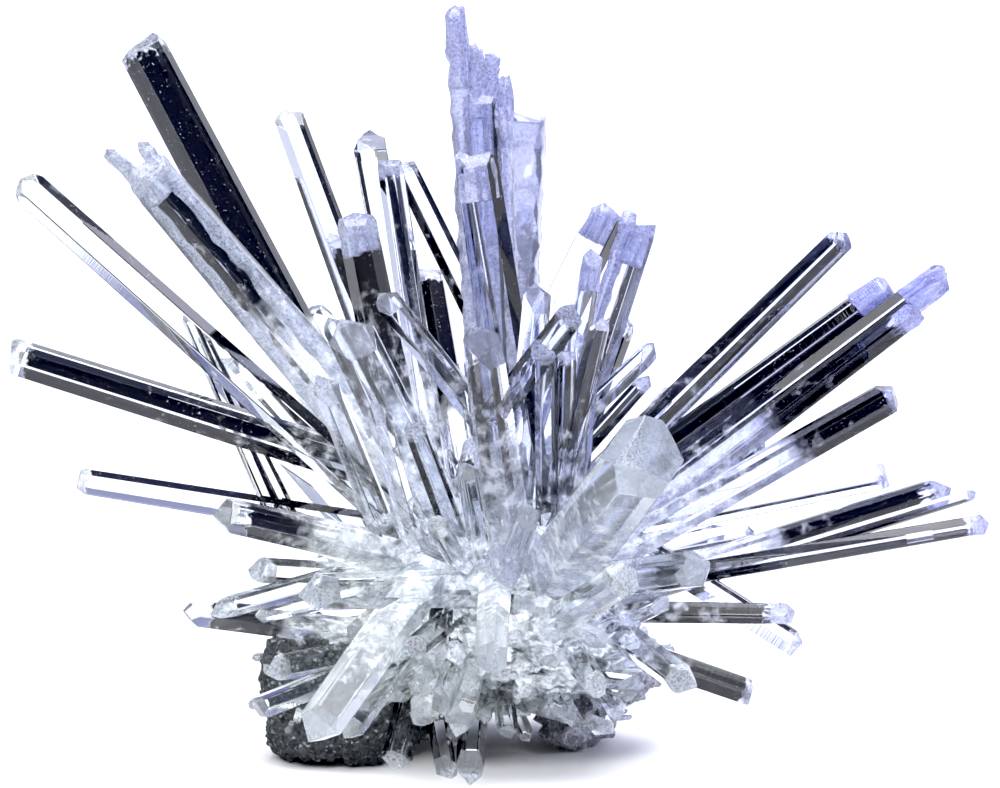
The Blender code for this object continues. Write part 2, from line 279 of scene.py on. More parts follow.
# %% Light paths
LIGHT_PATHS = {
    "max_bounces": 8,
    "transmission_bounces": 8,
    "glossy_bounces": 6,
    "diffuse_bounces": 1,
    "transparent_max_bounces": 24,
    "sample_clamp_indirect": 6,
    "blur_glossy": 0.4,
}
BLACK_LEVEL = 0.018
scene = bpy.context.scene
for setting, value in LIGHT_PATHS.items():
    setattr(scene.cycles, setting, value)
scene.view_settings.view_transform = "Standard"
scene.view_settings.use_curve_mapping = True
scene.view_settings.curve_mapping.black_level = (BLACK_LEVEL,) * 3
scene.view_settings.curve_mapping.update()
print("light may bounce", scene.cycles.max_bounces, "times")

# %% [markdown]
# ## Clear quartz, read from the mesh
# One recipe serves every crystal, and numbers stored on the mesh say how each face differs.
# `from_tip` is the distance from the crystal's tip in millimetres. `dark`, `dark_from` and
# `dark_to` say whether a face has a painted dark reflection of the room, and where it starts and
# stops. `milk` is how cloudy the crystal gets towards its root. `frost` roughens an etched face,
# `cap` is the length of a frosty end, and `painted_violet` says how much painted violet light the
# quartz gets. Two soft noises break all the borders up: patches a few millimetres wide, and crumbs
# of less than half a millimetre.

# %% Reading numbers and making noise
QUARTZ_IOR = 1.544
PATCHES = (2.5, 2.0, 0.65)  # size in mm, detail, roughness
CRUMBS = (0.4, 2.0, 0.7)


def stored(tree, name):
    made = tree.nodes.new("ShaderNodeAttribute")
    made.attribute_name = name
    return made.outputs["Fac"]


def cloud(tree, size_mm, detail, rough):
    """Soft noise whose lumps are about size_mm across, between 0 and 1."""
    place = node(tree, "ShaderNodeTexCoord").outputs["Object"]
    made = node(tree, "ShaderNodeTexNoise", Vector=place, Scale=1 / (size_mm * MM))
    made.inputs["Detail"].default_value = detail
    made.inputs["Roughness"].default_value = rough
    return made.outputs["Fac"]


print("quartz bends light by", QUARTZ_IOR)

# %% [markdown]
# ## Frost, milk and painted dark reflections
# Each of these three is a number between 0 and 1 for every point. Frost covers whole etched
# faces and a cap at the tip, whose lower border is ragged. Milk grows towards the root. A dark
# reflection of the room is painted on chosen sides: it begins and ends in waves, and pale specks
# float in it.

# %% Frost, milk and painted dark reflections
CAP_WANDER = 2.4
CAP_EDGE = 0.25
MILK_WANDER = 1.6
MILK_SPAN = (0.32, 0.95)
DARK_WANDER = 7.0
DARK_SOFT_START, DARK_SOFT_END = 0.8, 6.0
SPECK_SPAN = (0.84, 0.94)
SPECK_PATCHES = 0.35
SPECK_PALES = 0.5


def frost_of(tree, from_tip, fine):
    ragged = sum_of(tree, "MULTIPLY_ADD", fine, CAP_WANDER, from_tip)
    ragged = sum_of(tree, "SUBTRACT", ragged, CAP_WANDER / 2)
    cap = stored(tree, "cap")
    below, above = sum_of(tree, "ADD", cap, CAP_EDGE), sum_of(tree, "SUBTRACT", cap, CAP_EDGE)
    capped = step_between(tree, ragged, below, above)
    capped = sum_of(tree, "MULTIPLY", capped, sum_of(tree, "MULTIPLY_ADD", fine, 0.9, 0.25))
    return sum_of(tree, "MAXIMUM", stored(tree, "frost"), capped)


def milk_of(tree, patches):
    uneven = sum_of(tree, "MULTIPLY_ADD", patches, MILK_WANDER, -MILK_WANDER / 2)
    return step_between(tree, sum_of(tree, "ADD", stored(tree, "milk"), uneven), *MILK_SPAN)


# Painted dark reflection: chosen sides are painted near black, as if they mirrored the dark room.
def painted_darkness_of(tree, from_tip, patches, fine):
    wavy = sum_of(tree, "MULTIPLY_ADD", patches, DARK_WANDER, from_tip)
    wavy = sum_of(tree, "SUBTRACT", wavy, DARK_WANDER / 2)
    start, stop = stored(tree, "dark_from"), stored(tree, "dark_to")
    begun = step_between(tree, wavy, start, sum_of(tree, "ADD", start, DARK_SOFT_START))
    ended = step_between(tree, wavy, stop, sum_of(tree, "ADD", stop, DARK_SOFT_END))
    darkness = sum_of(tree, "MULTIPLY", stored(tree, "dark"), begun)
    darkness = sum_of(tree, "MULTIPLY", darkness, sum_of(tree, "SUBTRACT", 1.0, ended))
    dusty = sum_of(tree, "MULTIPLY_ADD", patches, SPECK_PATCHES, fine)
    speck = step_between(tree, dusty, *SPECK_SPAN)
    kept = sum_of(tree, "MULTIPLY_ADD", speck, -SPECK_PALES, 1.0)
    return sum_of(tree, "MULTIPLY", darkness, kept)


# The dark streak printed here is the painted dark reflection of the room.
print("a dark streak fades over", DARK_SOFT_END, "mm")

# %% [markdown]
# ## The colours of quartz
# Clear quartz is nearly colourless, and milky quartz is white with grey crumbs and a few dark
# cracks. Each tone is a pair, plain and violet, that the stored `painted_violet` mixes; the violet
# is painted light, as from a violet lamp to the right and above.

# %% Quartz colours
QUARTZ_TONES = {
    "clear": ((0.93, 0.955, 0.95), (0.7, 0.73, 0.99)),
    "white": ((0.8, 0.84, 0.86), (0.66, 0.69, 0.95)),
    "grey": ((0.26, 0.3, 0.32), (0.2, 0.22, 0.44)),
    "etched": ((0.64, 0.68, 0.73), (0.5, 0.52, 0.82)),
    "pitted": ((0.34, 0.37, 0.41), (0.3, 0.32, 0.56)),
}
CRACK = (0.03, 0.035, 0.045)
# Near black, a painted reflection of the dark room on chosen sides.
PAINTED_DARK_REFLECTION = (0.004, 0.004, 0.006)
PATCH_SHARE = 0.72
WHITE_SPAN = (0.43, 0.6)
CRACK_SPAN = (0.41, 0.37)
PIT_SPAN = (0.3, 0.6)
FROST_SPAN = (0.1, 0.5)


def quartz_colour(tree, patches, fine, frost, cloudy, darkness):
    # Painted violet light, stronger to the right and above.
    painted_violet = stored(tree, "painted_violet")
    tones = {name: mixed_colour(tree, painted_violet, *pair) for name, pair in QUARTZ_TONES.items()}
    crumb = sum_of(tree, "MULTIPLY", fine, 1 - PATCH_SHARE)
    crumb = sum_of(tree, "MULTIPLY_ADD", patches, PATCH_SHARE, crumb)
    whiter = step_between(tree, crumb, *WHITE_SPAN)
    milky = mixed_colour(tree, whiter, tones["grey"], tones["white"])
    milky = mixed_colour(tree, step_between(tree, crumb, *CRACK_SPAN), milky, CRACK)
    raised = step_between(tree, fine, *PIT_SPAN)
    etched = mixed_colour(tree, raised, tones["pitted"], tones["etched"])
    colour = mixed_colour(tree, cloudy, tones["clear"], milky)
    colour = mixed_colour(tree, step_between(tree, frost, *FROST_SPAN), colour, etched)
    # Paints the dark reflection of the room over the chosen sides.
    return mixed_colour(tree, darkness, colour, PAINTED_DARK_REFLECTION)


print(len(QUARTZ_TONES), "pairs of tones")

# %% [markdown]
# ## Two kinds of quartz
# The shader is plain glass wherever milk, frost and the painted dark reflections leave it clear.
# Fine growth lines across the sides are a faint bump along `from_tip` alone, so they all run
# square to the axis.
# Big crystals also swallow a little light on the way through, which tints their depths cold
# blue. Thin crystals do without it, and render faster.

# %% Quartz materials
QUARTZ_DENSITY = 12.0
DEPTH_TINT = (0.72, 0.78, 0.9, 1)
# How much milk, frost and the painted dark reflection each hide of the glass.
MILK_HIDES, FROST_HIDES, PAINTED_DARK_HIDES = 0.74, 0.55, 0.96
POLISH = 0.015
FROST_ROUGH = 0.28
GROWTH_LINES = (("Scale", 2.2), ("Detail", 2.0), ("Roughness", 0.7))
LINE_DEPTH = 0.2 * MM
LINE_STRENGTH = 0.02


def growth_lines(tree, from_tip):
    lines = tree.nodes.new("ShaderNodeTexNoise")
    lines.noise_dimensions = "1D"
    for name, value in (("W", from_tip),) + GROWTH_LINES:
        wire(tree, lines.inputs[name], value)
    height = lines.outputs["Fac"]
    bump = node(tree, "ShaderNodeBump", Height=height, Strength=LINE_STRENGTH, Distance=LINE_DEPTH)
    return bump.outputs[0]


def make_quartz(name, density):
    paint, tree = new_material(name)
    from_tip = stored(tree, "from_tip")
    patches, fine = cloud(tree, *PATCHES), cloud(tree, *CRUMBS)
    frost, cloudy = frost_of(tree, from_tip, fine), milk_of(tree, patches)
    darkness = painted_darkness_of(tree, from_tip, patches, fine)
    solid = sum_of(tree, "MULTIPLY", cloudy, MILK_HIDES)
    solid = sum_of(tree, "MAXIMUM", solid, sum_of(tree, "MULTIPLY", frost, FROST_HIDES))
    solid = sum_of(tree, "MAXIMUM", solid, sum_of(tree, "MULTIPLY", darkness, PAINTED_DARK_HIDES))
    shader = node(
        tree,
        "ShaderNodeBsdfPrincipled",
        Base_Color=quartz_colour(tree, patches, fine, frost, cloudy, darkness),
        Roughness=sum_of(tree, "MULTIPLY_ADD", frost, FROST_ROUGH, POLISH),
        IOR=QUARTZ_IOR,
        Transmission_Weight=sum_of(tree, "SUBTRACT", 1.0, solid),
        Normal=growth_lines(tree, from_tip),
    )
    out = give_surface(tree, shader)
    if density:
        tint = node(tree, "ShaderNodeVolumeAbsorption", Color=DEPTH_TINT, Density=density)
        tree.links.new(tint.outputs[0], out.inputs["Volume"])
    return paint


quartz = make_quartz("clear_quartz", QUARTZ_DENSITY)
thin_quartz = make_quartz("thin_quartz", 0)
print("made", quartz.name, "and", thin_quartz.name)

# %% [markdown]
# ## The shape of one crystal
# A quartz crystal is a six-sided prism closed by six slanting faces. Sawing a long prism with
# flat cuts gives exactly that, since every face is flat. The six sides are unequal, as in nature,
# and each slanting cut may sit nearer to the tip or further from it. That makes the difference
# between a pyramid, a chisel edge and a nearly square end. A broken end gets one more cut.

# %% Six sides and their ends
TIP_LEAN = math.radians(38.2)  # between the end faces of quartz and its axis
UNEVEN = 0.13
BROKEN_TILT = math.radians(16)
FLATS_SHARE = 0.91
END_SWAY = 0.06
SNAP = 1e-7
ENDS = {
    # how far out from the tip each of the six cuts lies, in half widths
    "point": (0.0, 0.5, 0.1, 0.45, 0.05, 0.55),
    "chisel": (-0.25, 0.75, 0.5, 0.9, 0.6, 0.8),
    "blunt": (0.45, 0.9, 0.6, 0.95, 0.5, 0.85),
}


def axes_of(along):
    """Two directions square to the axis, of which the first faces the front."""
    front = Vector((0, 0, 1)) if abs(along.y) > 0.9 else Vector((0, -1, 0))
    front = (front - along * front.dot(along)).normalized()
    return front, along.cross(front)


def six_sides(half, turn, rng):
    """The corners of an uneven six-sided outline, and the angles that its sides face."""
    reach = [half * (1 + rng.uniform(-UNEVEN, UNEVEN)) for _ in range(6)]
    angles = [turn + math.radians(60) * k for k in range(6)]
    corners = []
    for k in range(6):
        a, b = angles[k], angles[(k + 1) % 6]
        p, q = reach[k], reach[(k + 1) % 6]
        spread = math.sin(b - a)
        x = (p * math.sin(b) - q * math.sin(a)) / spread
        y = (q * math.cos(a) - p * math.cos(b)) / spread
        corners.append((x, y))
    return corners, angles


print("ways to end:", ", ".join(ENDS))

# %% [markdown]
# ## Sawing the prism
# The prism is drawn longer than the crystal, and each cut takes off what lies outside its plane
# and closes the hole. The lower end may be wider or narrower than the upper one, by `flare`.

# %% Cut a crystal
def cut_off(bm, point, outward):
    everything = list(bm.verts) + list(bm.edges) + list(bm.faces)
    bmesh.ops.bisect_plane(
        bm, geom=everything, dist=SNAP, plane_co=point, plane_no=outward, clear_outer=True
    )
    rim = [edge for edge in bm.edges if edge.is_boundary]
    if rim:
        bmesh.ops.holes_fill(bm, edges=rim, sides=0)


def cut_crystal(tip, root, across, turn, end, flare, rng):
    """A closed crystal, and the directions that its six sides face."""
    along = (tip - root).normalized()
    front, side = axes_of(along)
    half = across * MM / 2 * FLATS_SHARE
    corners, angles = six_sides(half, math.radians(turn), rng)
    bm = bmesh.new()
    far = tip + along * half * 2
    upper = [bm.verts.new(far + front * x + side * y) for x, y in corners]
    lower = [bm.verts.new(root + (front * x + side * y) * flare) for x, y in corners]
    bm.faces.new(upper)
    bm.faces.new(lower)
    for k in range(6):
        n = (k + 1) % 6
        bm.faces.new((lower[k], lower[n], upper[n], upper[k]))
    for k, beyond in enumerate(ENDS[end]):
        beyond += rng.uniform(-END_SWAY, END_SWAY)
        radial = front * math.cos(angles[k]) + side * math.sin(angles[k])
        outward = radial * math.cos(TIP_LEAN) + along * math.sin(TIP_LEAN)
        cut_off(bm, tip + outward * half * beyond, outward)
    if end == "blunt":
        lean = rng.uniform(0, math.tau)
        radial = front * math.cos(lean) + side * math.sin(lean)
        cut_off(bm, tip, along * math.cos(BROKEN_TILT) + radial * math.sin(BROKEN_TILT))
    return bm, [front * math.cos(a) + side * math.sin(a) for a in angles]


print("end faces lean", round(math.degrees(TIP_LEAN), 1), "degrees from the axis")

# %% [markdown]
# ## Soft edges, slices and wear
# No real edge is perfectly sharp. A bevel of a tenth of a millimetre catches the light as a thin
# bright line. Then the long faces are cut across every few millimetres. The cuts don't show, but
# short faces are found faster by the renderer, and an etched crystal needs them, because its
# outline is worn: soft noise pushes its points about, and nothing is pushed below the floor.

# %% Soften, slice and wear
EDGE_WIDTH = 0.1
EDGE_SHARE = 0.035
SLICE, WORN_SLICE = 4.0, 1.3
WORN_FROST = 0.3
CAP_REACH = 1.25
CAP_CUTS = (0.4, 0.8, CAP_REACH)
WEAR, CAP_WEAR = 0.6, 0.5
WEAR_SEED = 5
noise.seed_set(WEAR_SEED)  # else Blender starts this noise from the clock


def softened(bm, width):
    bmesh.ops.dissolve_degenerate(bm, edges=bm.edges, dist=width * 0.3)
    bmesh.ops.recalc_face_normals(bm, faces=bm.faces)
    shape = {"offset_type": "OFFSET", "segments": 1, "profile": 0.7, "clamp_overlap": True}
    bmesh.ops.bevel(bm, geom=list(bm.edges), offset=width, affect="EDGES", **shape)
    bmesh.ops.recalc_face_normals(bm, faces=bm.faces)


def sliced(bm, tip, root, frost, cap):
    """Cuts the long faces across, more often where the crystal is etched."""
    along = (tip - root).normalized()
    length = (tip - root).length / MM
    step = WORN_SLICE if frost > WORN_FROST else SLICE
    cuts = [step * n for n in range(1, int(length / step))]
    if cap and frost <= WORN_FROST:
        cuts += [cap * share for share in CAP_CUTS]
    for down in cuts:
        everything = list(bm.verts) + list(bm.edges) + list(bm.faces)
        point = tip - along * down * MM
        bmesh.ops.bisect_plane(bm, geom=everything, dist=SNAP, plane_co=point, plane_no=along)


def worn(bm, tip, root, frost, cap):
    """Makes the outline of an etched crystal uneven, or of its frosty end alone."""
    along = (tip - root).normalized()
    for vert in bm.verts:
        down = (tip - vert.co).dot(along) / MM
        if frost > WORN_FROST:
            amount = WEAR
        else:
            amount = CAP_WEAR * max(0.0, 1 - down / (cap * CAP_REACH)) if cap else 0.0
        place = vert.co / MM
        push = noise.noise_vector(place / 2.4) + noise.noise_vector(place / 0.9) * 0.35
        vert.co += push * amount * MM
        vert.co.z = max(vert.co.z, 0.0)
    if frost > WORN_FROST:
        for face in bm.faces:
            face.smooth = True


print("a frosted crystal has a slice every", WORN_SLICE, "mm")

# %% [markdown]
# ## Numbers for the material
# Every corner of every face now gets the numbers that the quartz material reads. They are kept
# by face corner and not by point, since two faces that share a point may differ. The violet is
# painted light, as from a violet lamp to the right and above: it grows to the right and upwards,
# and fades to the front.

# %% Store the finish
# Every end face gets at least this much frost: a rough finish, and with it a paler colour that is
# a painted reflection of the soft boxes above.
TIP_FROST_AND_REFLECTION = 0.42
END_FACE = 0.35
MILK_REACH = 1.35
LAYERS = ("from_tip", "dark", "dark_from", "dark_to", "milk", "frost", "cap", "painted_violet")


def painted_violet_at(place):
    """How much painted violet light the quartz gets at a place, from 0 to 1."""
    share = 0.35 + place.x / 0.11 + (place.z - 0.05) / 0.13
    share -= max(0.0, -place.y - 0.016) / 0.03
    return min(max(share, 0.0), 1.0)


def note_finish(bm, tip, root, sides, dark_sides, dark_span, milk, frost, cap):
    layers = [bm.loops.layers.float.new(name) for name in LAYERS]
    along = (tip - root).normalized()
    length = (tip - root).length
    for face in bm.faces:
        facet = max(range(6), key=lambda k: face.normal.dot(sides[k]))
        in_side = face.normal.dot(along) < END_FACE
        for loop in face.loops:
            down = (tip - loop.vert.co).dot(along)
            values = (
                down / MM,
                # 1 on the sides that get a painted dark reflection of the room
                1.0 if in_side and facet in dark_sides else 0.0,
                *dark_span,
                milk * min(1.0, max(0.0, down / length) * MILK_REACH),
                # end faces: frost, partly a painted reflection of the light above
                frost if in_side else max(frost, TIP_FROST_AND_REFLECTION),
                cap,
                # painted violet light at this corner
                painted_violet_at(loop.vert.co),
            )
            for layer, value in zip(layers, values):
                loop[layer] = value


print("stored on each face corner:", ", ".join(LAYERS))

# %% [markdown]
# ## One crystal, and many as one object
# A row of plain numbers in millimetres is all that a crystal needs. Its own seed makes its
# uneven sides the same each time. Many crystals then become one object. Clear quartz is left out
# of the shadows, because the light that it lets through is traced anyway, and a full shadow
# under every crystal would turn the knot and the floor too dark.

# %% Make and join crystals
# How far the spray is moved, to stand in the middle of the model's box, in mm.
PLACE = Vector((-0.277, -0.04, -0.8))


def crystal(row, seed):
    tip, root, across, turn, end, flare, dark_sides, dark_span, milk, frost, cap = row
    tip, root = Vector(tip) * MM, Vector(root) * MM
    bm, sides = cut_crystal(tip, root, across, turn, end, flare, random.Random(seed))
    softened(bm, min(EDGE_WIDTH, across * EDGE_SHARE) * MM)
    bmesh.ops.translate(bm, verts=bm.verts, vec=PLACE * MM)
    tip, root = tip + PLACE * MM, root + PLACE * MM
    sliced(bm, tip, root, frost, cap)
    note_finish(bm, tip, root, sides, dark_sides, dark_span, milk, frost, cap)
    worn(bm, tip, root, frost, cap)
    return bm


def joined(name, parts, material):
    """One object from many small meshes."""
    whole = bmesh.new()
    for part in parts:
        mesh = bpy.data.meshes.new("part")
        part.to_mesh(mesh)
        part.free()
        whole.from_mesh(mesh)
        bpy.data.meshes.remove(mesh)
    mesh = bpy.data.meshes.new(name)
    whole.to_mesh(mesh)
    whole.free()
    mesh.materials.append(material)
    piece = bpy.data.objects.new(name, mesh)
    piece.visible_shadow = material not in (quartz, thin_quartz)
    bpy.context.scene.collection.objects.link(piece)
    return piece


print("the spray is moved by", [round(part, 2) for part in PLACE], "mm")

# %% [markdown]
# ## Looks
# Some crystals are clear, some are milky, and some look black, because one of their sides throws
# back the dark of the room. Such a side is coloured dark here. Side 0 faces the front and side 3
# the back, so a dark side 3 is seen through side 0, as a black face with sharp edges.

# %% Looks of a crystal
LOOKS = {
    # sides with a painted dark reflection, dark from and to (mm from the tip), milk at the root,
    # frost, frosty cap (mm)
    "clear": ((), (0, 0), 0.36, 0, 0),
    "capped": ((), (0, 0), 0.5, 0, 2.2),
    "window": ((), (0, 0), 0, 0, 1.4),
    "framed": ((1, 4), (0.6, 400), 0.3, 0, 1.2),
    "lower_edge": ((2,), (0.8, 400), 0.1, 0, 1.2),
    "black": ((3, 4), (2.5, 48), 0.2, 0, 2.4),
    "black_end": ((2, 3, 4), (3.5, 26), 0.62, 0, 3.2),
    "black_tip": ((2, 3, 4), (0.9, 15), 0.6, 0, 0.8),
    "bare_black": ((3, 4), (1.0, 48), 0.2, 0, 0.8),
    "back_black": ((5, 0, 1), (3, 26), 0.4, 0, 1.5),
    # The back side is painted dark, a painted reflection of the room seen through the front.
    "streaked": ((3,), (2, 400), 0.38, 0, 1.2),
    "edged": ((2,), (1.5, 400), 0.3, 0, 1.4),
    "smoky": ((2,), (4, 30), 0.9, 0.5, 0),
    "pillar": ((3,), (4, 400), 0.8, 0, 0),
    "banded": ((3, 4), (4.5, 13), 0.7, 0, 0),
    "icy": ((), (0, 0), 0.95, 0.2, 0),
    "milky": ((), (0, 0), 0.8, 0.12, 0),
    "frosted": ((), (0, 0), 0.8, 0.6, 12),
}
print(len(LOOKS), "looks")

# %% [markdown]
# ## The big crystals
# Each line below is one crystal: the point of its tip and of its root in millimetres, its width,
# how far it is turned about its own axis, how it ends, its look and, unless it is the usual 1.1,
# how many times wider it is at the root. A table is the plainest way to hold what has no rule.

# %% Crystals to the left
LEFT = (
    ((-56, 30, 108), (-16.5, 12, 36), 7, 20, "blunt", "bare_black"),
    ((-53.2, 4, 91), (-10.5, -1, 41), 6.6, 25, "blunt", "black_end", 1.3),
    ((-58.2, 4.5, 93.6), (-12.7, -1, 39), 2.2, 0, "chisel", "frosted", 1.3),
    ((-53.4, 3.5, 94.6), (-9.2, -1, 42), 2.4, 40, "chisel", "frosted", 1.3),
    ((-72.4, 8, 89), (-13.5, -2, 37.5), 4.8, 10, "point", "framed", 1.2),
    ((-73, 2, 62.6), (-10.5, 3, 42.5), 5.6, 28, "blunt", "streaked"),
    ((-64.5, 12, 42.2), (-12, 5, 35), 3.8, 15, "blunt", "framed", 1.2),
    ((-48, 18, 67), (-34.5, 8, 38), 2.2, 0, "point", "framed", 1.2),
    ((-45.8, 20, 63.7), (-31.5, 7.6, 37.4), 2, 30, "point", "framed", 1.2),
    ((-43.3, 22, 59), (-16.7, 8, 30.7), 5.4, 12, "chisel", "lower_edge"),
    ((-39.8, -22, 42.8), (-13.4, -5, 33.6), 4.8, 30, "blunt", "banded", 1.15),
    ((-35.6, -18, 33.8), (-14.9, -3, 29.6), 3.6, 5, "chisel", "capped"),
    ((-40.6, -24, 29), (-12, -4, 33.5), 3.1, 20, "chisel", "capped", 1.2),
    ((-35.3, -20, 27.3), (-15, -5, 29.3), 2.4, 0, "point", "clear"),
    ((-46.9, -8, 25.7), (-10, 2.5, 19), 3.8, 20, "point", "banded", 1.2),
    ((-27.6, -21, 31.2), (-1, -11, 30), 5.2, 22, "chisel", "capped"),
    ((-33.6, -14, 18.1), (-14, -4, 20), 3.4, 10, "chisel", "capped"),
    ((-35, -22, 14.1), (-13, -5, 19.5), 3.5, 30, "blunt", "clear"),
    ((-25.8, -36, 14.2), (-9, -5, 33), 5.8, 15, "blunt", "icy"),
    ((-21.3, -30, 12.6), (-7, -4, 28), 3.6, 12, "blunt", "clear"),
)
print(len(LEFT), "crystals")

# %% Crystals at the top
TOP = (
    ((-32.3, 14, 98.8), (-10.5, 3, 40.8), 4.4, 18, "chisel", "framed", 1.25),
    ((-20.6, 32, 94.3), (-9.2, 12, 40), 6.2, 30, "point", "bare_black"),
    ((-21.7, 6, 83.4), (-12.8, -1, 40), 5.4, 0, "blunt", "black_end"),
    ((-16.8, 20, 90.7), (-9, 7, 40), 3.9, 10, "blunt", "capped"),
    ((-14.9, 24, 90), (1, 4, 60), 3.7, 35, "blunt", "framed"),
    ((-6.6, 4, 115), (-2.5, 0, 58), 2.8, 5, "point", "frosted", 1.5),
    ((-3.6, 4, 109.4), (-1.5, 0, 58), 1.8, 20, "point", "frosted", 1.6),
    ((-1.2, 4.5, 108), (0, 0, 58), 2.9, 30, "point", "frosted", 1.4),
    ((0.8, 4, 105), (1.5, 1, 58), 2.3, 12, "point", "frosted", 1.4),
    ((-2.7, 4, 102), (0, -1, 38), 5.6, 8, "blunt", "framed", 1.25),
    ((-3.4, -3, 93.2), (4.5, -3, 40), 6.4, 0, "blunt", "framed", 1.3),
    ((-5.4, -3, 93.6), (2, -3, 50), 2.2, 20, "chisel", "clear", 1.3),
    ((4.2, 26, 97), (2.3, 8, 40), 6.8, 20, "blunt", "smoky", 0.6),
    ((17, 6, 84.6), (0, 6, 50), 5.4, 0, "blunt", "framed"),
    ((21.4, 1, 82.6), (9, 0, 44), 4.8, 28, "blunt", "streaked"),
    ((19.9, 1, 84.7), (8, 0, 46), 2, 10, "chisel", "frosted", 1.4),
    ((14.2, -6, 79.2), (8.5, -4, 42), 3, 5, "chisel", "capped"),
    ((5.9, -8, 73.9), (3, -5, 42), 4.1, 20, "chisel", "clear"),
    ((10.8, -16, 71.3), (0, -8, 56), 4.4, 25, "blunt", "framed", 1.05),
    ((15.2, -10, 70), (9, -6, 42), 2.8, 15, "point", "streaked"),
    ((23.1, -4, 64.5), (6, -2, 48), 3.2, 30, "chisel", "clear"),
    ((19.7, 16, 67), (9, 6, 40), 4, 0, "point", "streaked"),
    ((22.8, 4, 59.4), (9, 3, 44), 2.4, 20, "point", "black", 1.2),
)
print(len(TOP), "crystals")

# %% Crystals to the right
RIGHT = (
    ((52.8, 6, 81.1), (9.3, 0, 39), 4.4, 20, "point", "streaked", 1.3),
    ((58.5, 1, 73.9), (11.3, 0, 38.8), 4.2, 30, "blunt", "lower_edge", 1.3),
    ((66.7, -2, 75.7), (14, 0, 34.7), 4.6, 5, "chisel", "streaked", 1.25),
    ((62.2, -4, 70.3), (12, -1, 31), 3.8, 22, "blunt", "black_end", 1.25),
    ((58.1, -12, 58.7), (12, -4, 30.5), 4.9, 30, "blunt", "black_tip"),
    ((59.9, 14, 42.6), (13, 4, 35), 4.4, 12, "blunt", "window"),
    ((69.2, 8, 41.7), (12, 0, 25), 4.7, 25, "point", "black_end"),
    ((72, 2, 41.8), (14, 0, 24), 1.8, 0, "point", "framed", 1.3),
    ((73, -4, 38.1), (13, -3, 27.5), 3.1, 15, "chisel", "black", 1.2),
    ((39, 6, 35.4), (12, 2, 31), 2.7, 5, "point", "clear"),
    ((43.5, -12, 26), (12, -5, 25), 3.2, 20, "blunt", "black_end", 1.15),
    ((45.1, -4, 19.6), (12, 1, 40), 3.6, 30, "blunt", "framed"),
    ((27.2, -26, 18.7), (11, -4, 27), 4, 0, "blunt", "capped"),
    ((37.7, -10, 13.7), (11, -2, 21.5), 3.9, 24, "blunt", "black_tip"),
    ((24.3, -20, 29.3), (11, -6, 20), 2.6, 10, "chisel", "clear"),
)
print(len(RIGHT), "crystals")

# %% Crystals in front
FRONT = (
    ((-22.2, -8, 68.3), (-8, -5, 38), 6.2, 12, "chisel", "clear"),
    ((-25.3, -2, 68.8), (-10, -1, 38), 3, 0, "point", "framed"),
    ((-25.4, -16, 61.2), (-13, -5, 27), 4, 25, "chisel", "edged"),
    ((-17.8, -15, 57.6), (-11, -6, 30), 2.9, 5, "chisel", "clear"),
    ((-12.2, -18, 55), (-5, -7, 33), 3.6, 28, "blunt", "framed"),
    ((-17.1, 0, 72), (2, -2, 48), 3.8, 15, "chisel", "clear"),
    ((-2.3, -16, 68.4), (2, -6, 34), 5.7, 40, "chisel", "pillar", 1.3),
    ((7, -12, 66.2), (7.5, -5, 38), 3.4, 10, "chisel", "framed"),
    ((10, -10, 65), (9.5, -5, 38), 3.1, 30, "blunt", "streaked"),
    ((13.4, -6, 65.4), (11, -3, 36), 3.2, 0, "chisel", "clear"),
    ((21, -43, 55.3), (9, -5, 31), 11.4, 20, "blunt", "milky", 1.12),
    ((28.4, -30, 36.2), (11, -6, 29), 5.4, 8, "blunt", "clear"),
    ((-1.1, -38, 24.7), (-0.5, -6, 30), 4.7, 26, "blunt", "milky"),
    ((18, -34, 35.9), (2, -7, 19.5), 5.2, 15, "blunt", "capped"),
    ((-4.5, -22, 50), (-2, -7, 32), 3.2, 18, "point", "clear"),
    ((-9, -24, 42), (-4, -7, 30), 3, 0, "chisel", "edged"),
    ((4.5, -25, 43.5), (1, -7, 30), 3.4, 34, "chisel", "clear"),
    ((-12, -26, 24), (-5, -6, 26), 3.2, 12, "blunt", "framed"),
    ((7, -29, 30.5), (3, -7, 27), 3.3, 24, "point", "clear"),
    ((-8.5, -25, 15), (-4, -6, 23), 3.4, 30, "chisel", "clear"),
)
print(len(FRONT), "crystals")

# %% Crystals below
BELOW = (
    ((20.4, -16, 16), (3, -6, 16), 3.3, 8, "chisel", "clear"),
    ((14.3, -26, 18.1), (9, -5, 24), 3.4, 25, "blunt", "capped"),
    ((-15.3, -14, 3.8), (-11, -3, 19), 4.4, 14, "blunt", "framed"),
    ((-7.6, -15, 2.6), (-11, -2, 19), 3.3, 28, "chisel", "framed"),
    ((-4.2, -16, 2.6), (-3, -2, 19), 4.1, 5, "chisel", "framed"),
    ((4.7, -8, 5.9), (-2, -2, 19), 2.2, 20, "point", "clear"),
    ((1.5, -14, 8.5), (0, -5, 20), 3.2, 10, "blunt", "clear"),
    ((9.5, -16, 11.5), (5, -5, 20), 3, 30, "point", "clear"),
)
print(len(BELOW), "crystals")

